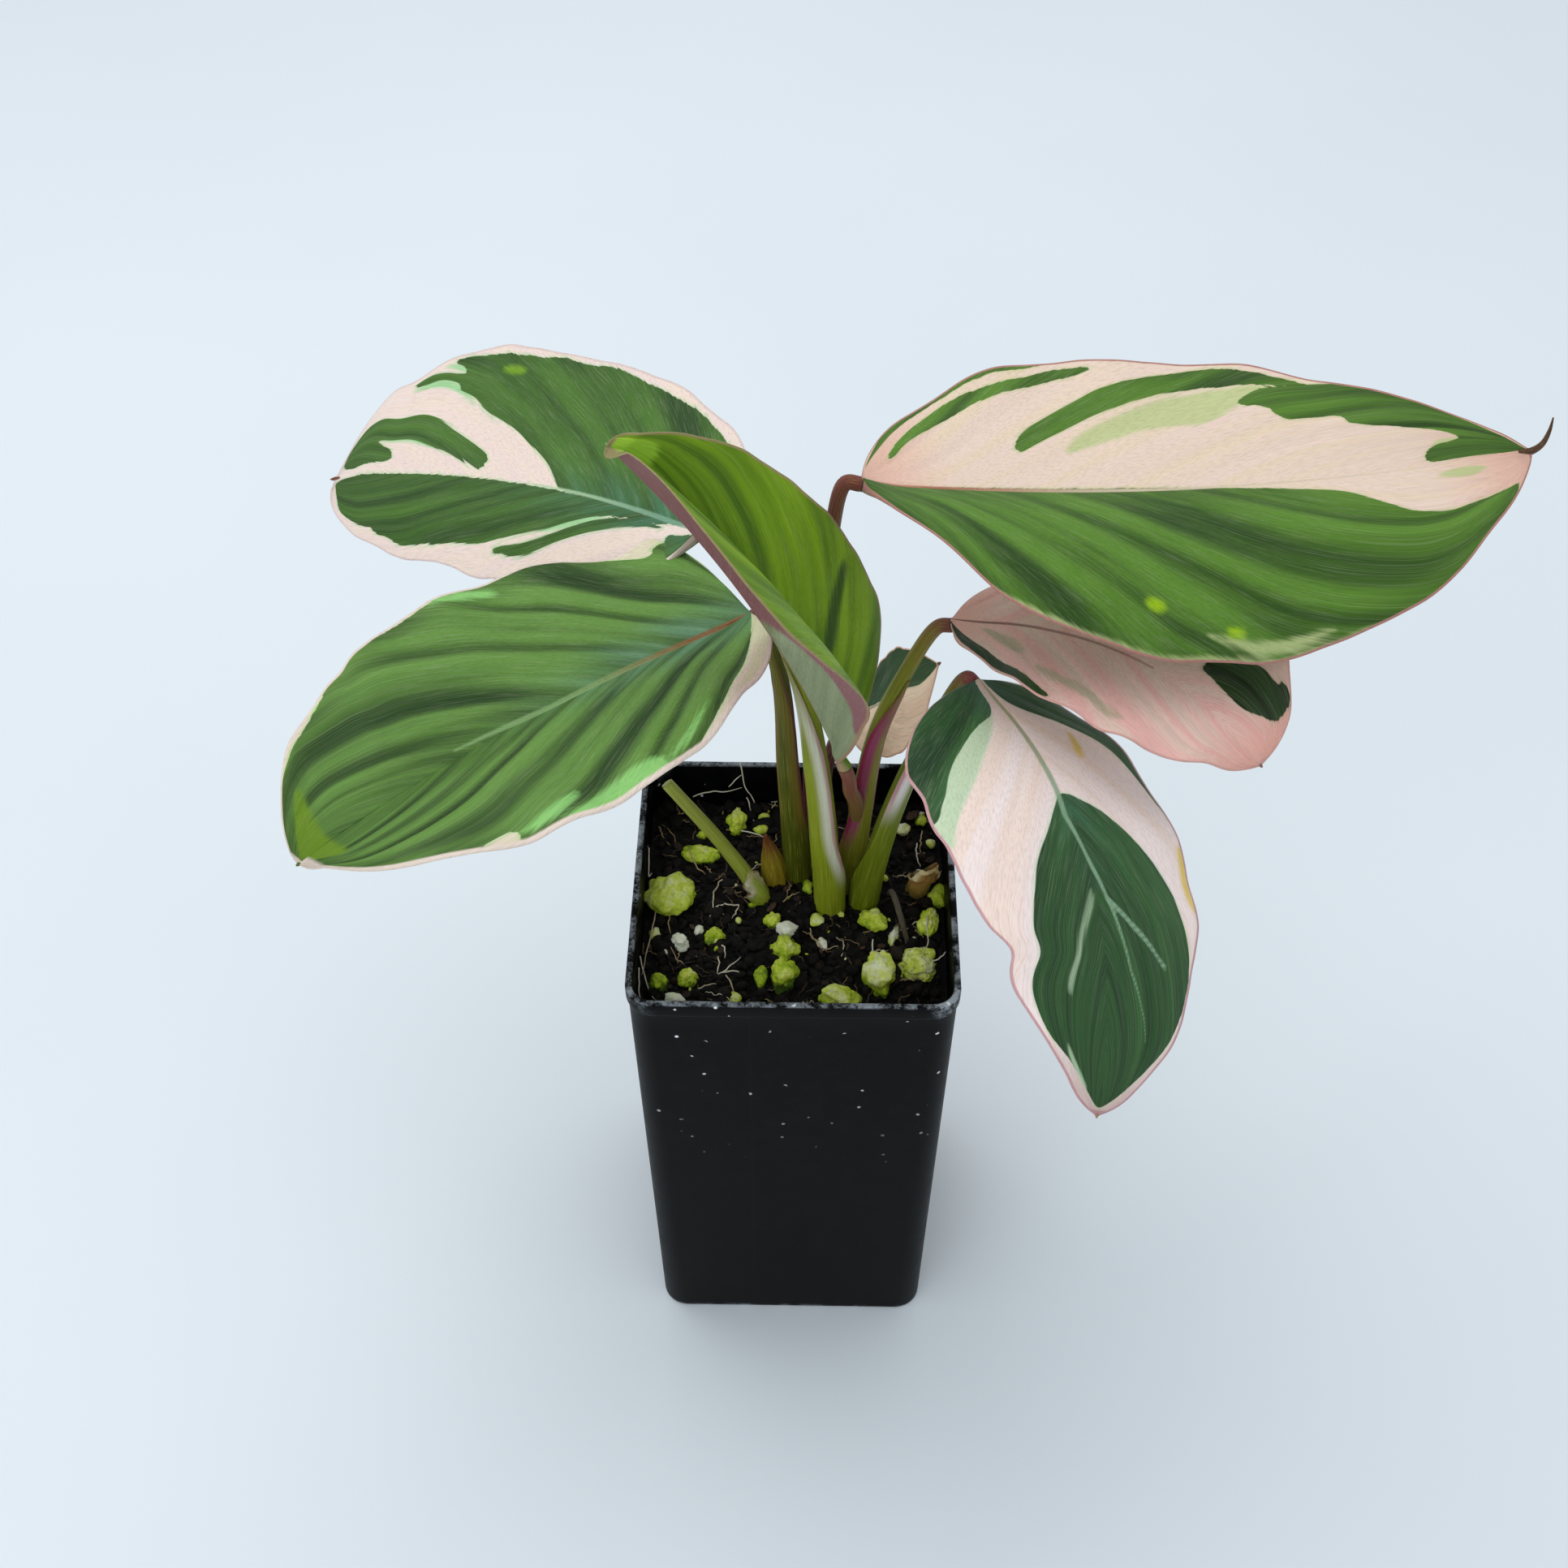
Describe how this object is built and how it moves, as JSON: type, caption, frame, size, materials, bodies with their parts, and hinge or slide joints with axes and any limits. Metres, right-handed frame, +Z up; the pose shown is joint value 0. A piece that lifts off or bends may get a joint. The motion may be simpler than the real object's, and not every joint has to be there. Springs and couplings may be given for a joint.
{
  "type": "potted pink variegated arrowroot",
  "caption": "Prayer plant with broad pink, cream and green leaves on sheathed petioles, standing in a deep square black nursery pot.",
  "frame": {"origin": "middle of the pot's underside", "axes": "+Z up, +X to the right and -Y towards the viewer of the picture, both square to the pot's sides"},
  "size_m": [0.2513, 0.1883, 0.249],
  "materials": {
    "black_plastic": "satin",
    "peat": "rough",
    "perlite": "rough",
    "green_blade": "satin",
    "pink_blade": "satin",
    "green_stem": "satin",
    "red_stem": "satin",
    "dry_tissue": "matte"
  },
  "bodies": {
    "root": {"nursery_pot": "black_plastic", "potting_mix": "peat", "leaf_back_left": "green_blade", "leaf_front_left": "green_blade", "leaf_centre_young": "green_blade", "leaf_right_large": "green_blade", "leaf_right_low": "pink_blade", "leaf_front_right": "pink_blade", "leaf_back_small": "green_blade", "petiole_back_left": "green_stem", "petiole_front_left": "green_stem", "petiole_right_large": "red_stem", "petiole_right_low": "green_stem", "petiole_front_right": "green_stem", "petiole_back_small": "red_stem", "petiole_cut_old": "green_stem", "bud_scale": "dry_tissue", "sheath_dry": "dry_tissue", "twig_dry": "dry_tissue", "perlite_01": "perlite", "perlite_02": "perlite", "perlite_03": "perlite", "perlite_04": "perlite", "perlite_05": "perlite", "perlite_06": "perlite", "perlite_07": "perlite", "perlite_08": "perlite", "perlite_09": "perlite", "perlite_10": "perlite", "perlite_11": "perlite", "perlite_12": "perlite", "perlite_13": "perlite", "perlite_14": "perlite", "perlite_15": "perlite"}
  },
  "joints": []
}
